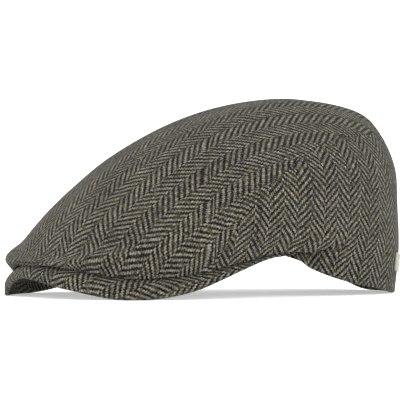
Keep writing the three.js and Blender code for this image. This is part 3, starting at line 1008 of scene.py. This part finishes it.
# The visor in degrees from the front and metres. Between the taper angle and the end angle it
# thins out and rises to its end. The head opening is an arch from one tip to the other, its
# middle lies behind the origin. The gap is between the board and the crown, and the press is how
# far the edge is pressed flat on the table.
VISOR_TIP_ANGLE = 88
VISOR_TAPER_ANGLE = 76
VISOR_END_ANGLE = 91
VISOR_END_THICKNESS = 0.0003
VISOR_END_RISE = 0.0012
OPENING_TIP_ANGLE = 81
OPENING_FRONT = 0.073
OPENING_HALF_WIDTH = 0.079
OPENING_MIDDLE = 0.024
OPENING_FRONT_HEIGHT = 0.027
VISOR_GAP = 0.0002
VISOR_EDGE_PRESS = 0.0006

# Run to rise of the steepest board, and the share of the edge's drop that the belly has
VISOR_RUN_TO_RISE = 3
VISOR_BELLY_DROP = 0.4

# Fineness of the visor's mesh
VISOR_COLUMNS = 260
VISOR_STEPS = 14


def smooth_path(points, steps):
    """Curves through rows of points, and how far along each is.

    Between two points runs a cubic. Its slopes come from the neighbours, with knots spaced by
    the square root of the distance between points.
    """
    before = 2 * points[:, :1] - points[:, 1:2]
    after = 2 * points[:, -1:] - points[:, -2:-1]
    knots = np.concatenate([before, points, after], axis=1)
    gaps = np.sqrt(np.linalg.norm(np.diff(knots, axis=1), axis=-1, keepdims=True))
    pieces = []
    t = np.linspace(0, 1, steps + 1)[:-1, None]
    for k in range(1, knots.shape[1] - 2):
        p0, p1, p2, p3 = (knots[:, k + m] for m in (-1, 0, 1, 2))
        g0, g1, g2 = (gaps[:, k + m] for m in (-1, 0, 1))
        slope_1 = ((p1 - p0) / g0 - (p2 - p0) / (g0 + g1) + (p2 - p1) / g1) * g1
        slope_2 = ((p2 - p1) / g1 - (p3 - p1) / (g1 + g2) + (p3 - p2) / g2) * g1
        p1, p2, slope_1, slope_2 = (part[:, None] for part in (p1, p2, slope_1, slope_2))
        pieces.append((2 * t ** 3 - 3 * t ** 2 + 1) * p1 + (t ** 3 - 2 * t ** 2 + t) * slope_1
                      + (3 * t ** 2 - 2 * t ** 3) * p2 + (t ** 3 - t ** 2) * slope_2)
    pieces.append(points[:, -1:])
    return np.concatenate(pieces, axis=1)


class FLATCAP_OT_visor(bpy.types.Operator):
    """Make the visor: an arched board whose sections run from the head opening to the edge."""
    bl_idname = "flat_cap.visor"
    bl_label = "Visor"

    def section(self, crown, angle):
        """The middle of the board at each angle, the half thickness and the way out of the rim."""
        sizes = crown.sizes
        zero = np.zeros(len(angle))
        turn = np.radians(angle * OPENING_TIP_ANGLE / VISOR_TIP_ANGLE)
        opening = np.stack([
            OPENING_HALF_WIDTH * np.sin(turn),
            OPENING_MIDDLE - (OPENING_FRONT + OPENING_MIDDLE) * np.cos(turn),
            zero + OPENING_FRONT_HEIGHT,
        ], axis=-1)
        along = crown.along_ring(angle, zero)
        out = unit(np.stack([along[:, 1], -along[:, 0], zero], axis=-1))
        share = (angle / VISOR_TIP_ANGLE) ** 2
        thick = sizes.visor_thickness * (1 - share) + sizes.visor_tip_thickness * share
        end = (np.abs(angle) - VISOR_TAPER_ANGLE) / (VISOR_END_ANGLE - VISOR_TAPER_ANGLE)
        end = np.clip(end, 0, 1)
        half = np.maximum(thick * np.sqrt(1 - end ** 2), VISOR_END_THICKNESS) / 2
        rim = crown.ring_point(np.zeros(len(angle), int), angle)
        under = rim - out * sizes.wall
        under[:, 2] -= VISOR_GAP + half - VISOR_END_RISE * end
        stand = sizes.visor_overhang * from_table(VISOR_BAND, np.abs(angle), "out") - half
        left, right = (from_table(VISOR_BAND, np.abs(angle), side) for side in ("left", "right"))
        drop = sizes.visor_drop * np.where(angle < 0, right, left)
        edge = rim + out * stand[:, None]
        edge[:, 2] = np.minimum(edge[:, 2] + half - drop, under[:, 2])
        edge[:, 2] = np.maximum(edge[:, 2], half) - VISOR_EDGE_PRESS * (1 - end)
        run = np.linalg.norm(under - opening, axis=-1)
        highest = under[:, 2] + half + run / VISOR_RUN_TO_RISE
        opening[:, 2] = np.minimum(opening[:, 2] - half, highest)
        swell = sizes.visor_overhang * from_table(VISOR_BAND, np.abs(angle), "belly") - half
        belly = rim + out * swell[:, None]
        belly[:, 2] = under[:, 2] + (edge[:, 2] - under[:, 2]) * VISOR_BELLY_DROP
        corners = np.stack([opening, (opening + under) / 2, under, belly, edge], axis=1)
        return smooth_path(corners, VISOR_STEPS), half, out

    def execute(self, context):
        scene = context.scene
        crown = Crown(scene.cap_sizes)
        angle = np.linspace(-VISOR_END_ANGLE, VISOR_END_ANGLE, VISOR_COLUMNS + 1)
        middle, half, out = self.section(crown, angle)
        along = unit(np.gradient(middle[:, middle.shape[1] // 2], axis=0))[:, None]
        direction = unit(np.gradient(middle, axis=1))
        up = unit(np.cross(direction, along))
        thick = half[:, None, None]
        turn = np.linspace(0, np.pi, ROLL_STEPS + 1)[1:-1][None, :, None]
        last = middle[:, -1:]
        edge = last + thick * (up[:, -1:] * np.cos(turn) + direction[:, -1:] * np.sin(turn))
        points = np.concatenate([
            middle + up * thick, edge, (middle - up * thick)[:, ::-1]], axis=1)
        points[..., 2] = np.maximum(points[..., 2], 0)

        path = np.linalg.norm(np.diff(points, axis=1), axis=-1)
        run = np.concatenate([np.zeros((len(angle), 1)), np.cumsum(path, axis=1)], axis=1)
        crease = VISOR_STEPS * 2
        run = run - run[:, crease:crease + 1]
        places = points[:, crease:crease + 1, :2] + out[:, None, :2] * run[..., None]

        rows = points.shape[1]
        faces = grid_faces(*points.shape[:2], False, True).tolist()
        for base in (0, VISOR_COLUMNS * rows):
            for k in range((rows - 1) // 2):
                faces.append([base + k, base + k + 1, base + rows - 2 - k, base + rows - 1 - k])
        piece = make_mesh("visor_cloth", points.reshape(-1, 3), faces, places.reshape(-1, 2))
        dress(piece, "visor", tweed_material(scene.cloth_look))
        return {"FINISHED"}


BADGE_ANGLE = 149
BADGE_LEVEL = 0.68
BADGE_THICKNESS = 0.0012
BADGE_CELLS = 40

# How far the badge's sides bend in at its corners, its edge's thickness as a share of the whole,
# and the width of the puffed margin as a share of the half size
BADGE_CORNER = 0.1
BADGE_EDGE = 0.45
BADGE_MARGIN = 0.08

# The groove of the stitching: its depth in metres, and its inset and width as shares of the half
# size
STITCH_DEPTH = 0.0002
STITCH_INSET = 0.16
STITCH_WIDTH = 0.05


class FLATCAP_OT_badge(bpy.types.Operator):
    """Make the blank badge on the left side near the back."""
    bl_idname = "flat_cap.badge"
    bl_label = "Badge"

    def execute(self, context):
        scene = context.scene
        sizes = scene.cap_sizes
        crown = Crown(sizes)
        centre = np.array(float(BADGE_ANGLE)), np.array(BADGE_LEVEL)
        per_degree = np.linalg.norm(crown.along_ring(*centre))
        per_level = crown.rate(*centre)
        t = np.linspace(-1, 1, BADGE_CELLS + 1)
        s, r = np.meshgrid(t, t, indexing="ij")
        x = s * np.sqrt(1 - BADGE_CORNER * r ** 4) * sizes.badge_width / 2
        y = r * np.sqrt(1 - BADGE_CORNER * s ** 4) * sizes.badge_height / 2
        inset = 1 - np.maximum(np.abs(s), np.abs(r))
        puff = np.sqrt(1 - (1 - np.clip(inset / BADGE_MARGIN, 0, 1)) ** 2)
        rise = BADGE_THICKNESS * (BADGE_EDGE + (1 - BADGE_EDGE) * puff)
        rise -= STITCH_DEPTH * np.exp(-((inset - STITCH_INSET) / STITCH_WIDTH) ** 2)
        top = crown.point(BADGE_ANGLE + x / per_degree, BADGE_LEVEL + y / per_level, rise)
        base = crown.point(BADGE_ANGLE + x / per_degree, BADGE_LEVEL + y / per_level, 0)
        count = BADGE_CELLS + 1
        faces = grid_faces(count, count, False, False)
        lower = faces[:, ::-1] + count * count
        index = np.arange(count * count).reshape(count, count)
        ring = np.concatenate([index[:-1, 0], index[-1, :-1], index[:0:-1, -1], index[0, :0:-1]])
        after = np.roll(ring, -1)
        walls = np.stack([ring, ring + count * count, after + count * count, after], axis=-1)
        points = np.concatenate([top.reshape(-1, 3), base.reshape(-1, 3)])
        places = np.stack([x, y], axis=-1).reshape(-1, 2)
        piece = make_mesh("badge_patch", points, np.vstack([faces, lower, walls]).tolist(),
                          np.vstack([places, places]))
        dress(piece, "side_badge", badge_material(scene.cloth_look))
        return {"FINISHED"}


CAMERA_AZIMUTH = 60
CAMERA_ELEVATION = 1
CAMERA_AIM = (-0.0009, -0.00365, 0.0614)
CAMERA_LENS = 414
SENSOR = 36

# The floor: its radius, the radius of the curve at its edge, the height of the wall, the steps
# of the curve and of the way round, and its gloss
BOWL_RADIUS = 6
BOWL_CURVE = 2
BOWL_WALL = 2
BOWL_CURVE_STEPS = 12
BOWL_SIDES = 96
FLOOR_ROUGHNESS = 0.9
FLOOR_SPECULAR = 0.1

# Each light's place, its size and the property that gives its power
LAMPS = (
    ("key_light", (0.4, -2.2, 2.4), 2.2, "key_power"),
    ("fill_light", (2.4, 1.2, 1.1), 2.5, "fill_power"),
    ("low_light", (2.6, -1.6, 0.35), 0.6, "low_power"),
)


class FLATCAP_OT_stage(bpy.types.Operator):
    """Make the floor, the lights and the camera."""
    bl_idname = "flat_cap.stage"
    bl_label = "Stage"

    def floor(self, look):
        """A round floor that curves up into a wall: a profile turned round the middle."""
        turn = np.linspace(0, np.pi / 2, BOWL_CURVE_STEPS + 1)
        flat_radius = BOWL_RADIUS - BOWL_CURVE
        reach = np.concatenate([[0, flat_radius / 2], flat_radius + BOWL_CURVE * np.sin(turn),
                                [BOWL_RADIUS]])
        rise = np.concatenate([[0, 0], BOWL_CURVE * (1 - np.cos(turn)), [BOWL_CURVE + BOWL_WALL]])
        sweep = np.linspace(0, 2 * np.pi, BOWL_SIDES, endpoint=False)[:, None]
        points = np.stack([reach * np.cos(sweep), reach * np.sin(sweep), rise + 0 * sweep], -1)
        mesh = bpy.data.meshes.new("floor")
        faces = grid_faces(*points.shape[:2], True, False)
        mesh.from_pydata(points.reshape(-1, 3), [], faces.tolist())
        form = bmesh.new()
        form.from_mesh(mesh)
        bmesh.ops.remove_doubles(form, verts=form.verts, dist=SAME_POINT)
        form.to_mesh(mesh)
        form.free()
        mesh.shade_smooth()
        floor = bpy.data.objects.new("floor", mesh)
        bpy.context.scene.collection.objects.link(floor)
        material, _, surface = new_material("floor")
        surface.inputs["Base Color"].default_value = look.floor
        surface.inputs["Roughness"].default_value = FLOOR_ROUGHNESS
        surface.inputs["Specular IOR Level"].default_value = FLOOR_SPECULAR
        surface.inputs["Emission Color"].default_value = look.floor
        surface.inputs["Emission Strength"].default_value = look.floor_glow
        mesh.materials.append(material)

    def lamp(self, name, place, size, power):
        """A square area light that points at the middle of the cap."""
        data = bpy.data.lights.new(name, "AREA")
        data.size = size
        data.energy = power
        lamp = bpy.data.objects.new(name, data)
        lamp.location = place
        toward = Vector(CAMERA_AIM) - lamp.location
        lamp.rotation_euler = toward.to_track_quat("-Z", "Y").to_euler()
        bpy.context.scene.collection.objects.link(lamp)

    def camera(self, look):
        """The camera stands back from its aim along the azimuth and elevation."""
        data = bpy.data.cameras.new("camera")
        data.lens = CAMERA_LENS
        data.sensor_width = SENSOR
        camera = bpy.data.objects.new("camera", data)
        azimuth, elevation = np.radians([CAMERA_AZIMUTH, CAMERA_ELEVATION])
        back = Vector((np.sin(azimuth) * np.cos(elevation), -np.cos(azimuth) * np.cos(elevation),
                       np.sin(elevation)))
        camera.location = Vector(CAMERA_AIM) + back * look.distance
        camera.rotation_euler = back.to_track_quat("Z", "Y").to_euler()
        bpy.context.scene.collection.objects.link(camera)
        bpy.context.scene.camera = camera

    def execute(self, context):
        scene = context.scene
        look = scene.stage_look
        self.floor(look)
        for name, place, size, power in LAMPS:
            self.lamp(name, place, size, getattr(look, power))
        world = bpy.data.worlds.new("studio")
        world.use_nodes = True
        background = world.node_tree.nodes["Background"]
        background.inputs["Color"].default_value = (1, 1, 1, 1)
        background.inputs["Strength"].default_value = look.sky
        scene.world = world
        scene.view_settings.view_transform = "Standard"
        self.camera(look)
        return {"FINISHED"}


class FLATCAP_PT_panel(bpy.types.Panel):
    """Lists the cap's operators and sizes in the sidebar."""
    bl_idname = "FLATCAP_PT_panel"
    bl_label = "Flat cap"
    bl_space_type = "VIEW_3D"
    bl_region_type = "UI"
    bl_category = "Flat cap"

    def draw(self, context):
        for operator in OPERATORS:
            self.layout.operator(operator.bl_idname)
        for group in (context.scene.cap_sizes, context.scene.cloth_look, context.scene.stage_look):
            box = self.layout.box()
            for name in group.bl_rna.properties.keys():
                if name not in ("rna_type", "name"):
                    box.prop(group, name)


GROUPS = (("cap_sizes", CapSizes), ("cloth_look", ClothLook), ("stage_look", StageLook))
OPERATORS = (FLATCAP_OT_stage, FLATCAP_OT_top_panel, FLATCAP_OT_side_panels, FLATCAP_OT_visor,
             FLATCAP_OT_badge)


def register():
    for name, group in GROUPS:
        bpy.utils.register_class(group)
        setattr(bpy.types.Scene, name, bpy.props.PointerProperty(type=group))
    for operator in OPERATORS:
        bpy.utils.register_class(operator)
    bpy.utils.register_class(FLATCAP_PT_panel)


def unregister():
    bpy.utils.unregister_class(FLATCAP_PT_panel)
    for operator in reversed(OPERATORS):
        bpy.utils.unregister_class(operator)
    for name, group in reversed(GROUPS):
        delattr(bpy.types.Scene, name)
        bpy.utils.unregister_class(group)


def main():
    register()
    bpy.ops.flat_cap.stage()
    bpy.ops.flat_cap.top_panel()
    bpy.ops.flat_cap.side_panels()
    bpy.ops.flat_cap.visor()
    bpy.ops.flat_cap.badge()


if __name__ == "__main__":
    main()
